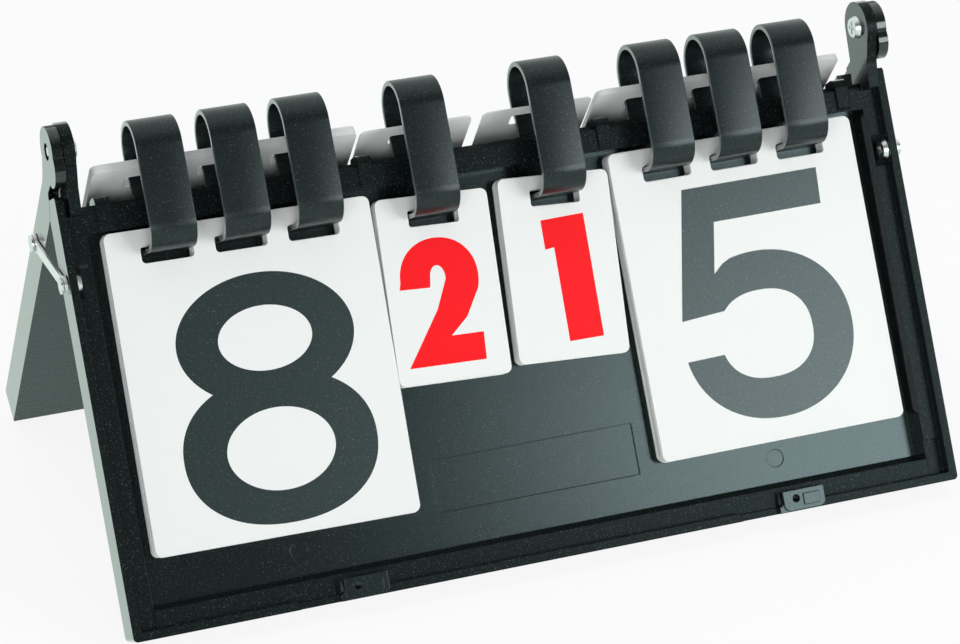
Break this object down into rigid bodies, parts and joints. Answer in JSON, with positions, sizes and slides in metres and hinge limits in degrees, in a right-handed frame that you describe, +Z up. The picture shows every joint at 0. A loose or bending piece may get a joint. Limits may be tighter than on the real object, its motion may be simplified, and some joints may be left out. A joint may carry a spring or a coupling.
{
  "type": "tabletop flip scoreboard",
  "caption": "Folding tabletop flip scoreboard: two black tray halves as an A-frame, white number cards on strap rings.",
  "frame": {"origin": "middle of the standing footprint on the table", "axes": "+Z up, front with the shown cards faces -Y, +X to the viewer's right along the hinge"},
  "size_m": [0.391, 0.2204, 0.1966],
  "materials": {
    "case_black": "fine grained, slightly green-grey sheen",
    "strap_black": "satin",
    "card_white": "satin white card stock with printed figures",
    "zinc": "zinc plated",
    "stay_steel": "bright plated strip"
  },
  "bodies": {
    "front_half": {"front_shell": "case_black", "ring_1": "strap_black", "ring_2": "strap_black", "ring_3": "strap_black", "ring_4": "strap_black", "ring_5": "strap_black", "ring_6": "strap_black", "ring_7": "strap_black", "ring_8": "strap_black", "points_pack_left": "card_white", "points_pack_right": "card_white", "sets_pack_left": "card_white", "sets_pack_right": "card_white", "hinge_screw_left": "zinc", "hinge_screw_right": "zinc", "catch_screw_left": "zinc", "catch_screw_right": "zinc"},
    "rear_half": {"rear_shell": "case_black", "stay_rivet_left": "zinc", "stay_rivet_right": "zinc"},
    "stay_arm_left": {"stay_left": "stay_steel"},
    "stay_arm_right": {"stay_right": "stay_steel"},
    "top_points_card_left": {"points_card_left": "card_white"},
    "top_points_card_right": {"points_card_right": "card_white"},
    "top_sets_card_left": {"sets_card_left": "card_white"},
    "top_sets_card_right": {"sets_card_right": "card_white"},
    "points_turned_left_stack": {"points_turned_left": "card_white"},
    "points_turned_right_stack": {"points_turned_right": "card_white"},
    "sets_turned_left_stack": {"sets_turned_left": "card_white"},
    "sets_turned_right_stack": {"sets_turned_right": "card_white"}
  },
  "joints": [
    {"name": "rear_half_hinge", "type": "hinge", "parent": "front_half", "child": "rear_half", "pos_m": [0, 0, 0.18503], "axis": [1, 0, 0], "range_deg": [0, 205]},
    {"name": "points_card_left_lift", "type": "hinge", "parent": "front_half", "child": "top_points_card_left", "pos_m": [0, -0.014, 0.15357], "axis": [1, 0, 0], "range_deg": [-115, 0]},
    {"name": "points_card_right_lift", "type": "hinge", "parent": "front_half", "child": "top_points_card_right", "pos_m": [0, -0.014, 0.15357], "axis": [1, 0, 0], "range_deg": [-115, 0]},
    {"name": "sets_card_left_lift", "type": "hinge", "parent": "front_half", "child": "top_sets_card_left", "pos_m": [0, -0.01583, 0.15064], "axis": [1, 0, 0], "range_deg": [-115, 0]},
    {"name": "sets_card_right_lift", "type": "hinge", "parent": "front_half", "child": "top_sets_card_right", "pos_m": [0, -0.01583, 0.15064], "axis": [1, 0, 0], "range_deg": [-115, 0]},
    {"name": "points_turned_left_turn", "type": "hinge", "parent": "front_half", "child": "points_turned_left_stack", "pos_m": [0, -0.00053, 0.17758], "axis": [1, 0, 0], "range_deg": [0, 205]},
    {"name": "points_turned_right_turn", "type": "hinge", "parent": "front_half", "child": "points_turned_right_stack", "pos_m": [0, -0.00053, 0.17758], "axis": [1, 0, 0], "range_deg": [0, 205]},
    {"name": "sets_turned_left_turn", "type": "hinge", "parent": "front_half", "child": "sets_turned_left_stack", "pos_m": [0, -0.00053, 0.17758], "axis": [1, 0, 0], "range_deg": [0, 205]},
    {"name": "sets_turned_right_turn", "type": "hinge", "parent": "front_half", "child": "sets_turned_right_stack", "pos_m": [0, -0.00053, 0.17758], "axis": [1, 0, 0], "range_deg": [0, 205]},
    {"name": "stay_left_pivot", "type": "hinge", "parent": "rear_half", "child": "stay_arm_left", "pos_m": [0, 0.02718, 0.12831], "axis": [1, 0, 0], "range_deg": [-50, 0]},
    {"name": "stay_right_pivot", "type": "hinge", "parent": "rear_half", "child": "stay_arm_right", "pos_m": [0, 0.02718, 0.12831], "axis": [1, 0, 0], "range_deg": [-50, 0]}
  ],
  "couplings": [
    {"joint": "points_turned_left_turn", "follows": "rear_half_hinge", "ratio": 1},
    {"joint": "points_turned_right_turn", "follows": "rear_half_hinge", "ratio": 1},
    {"joint": "sets_turned_left_turn", "follows": "rear_half_hinge", "ratio": 1},
    {"joint": "sets_turned_right_turn", "follows": "rear_half_hinge", "ratio": 1}
  ]
}
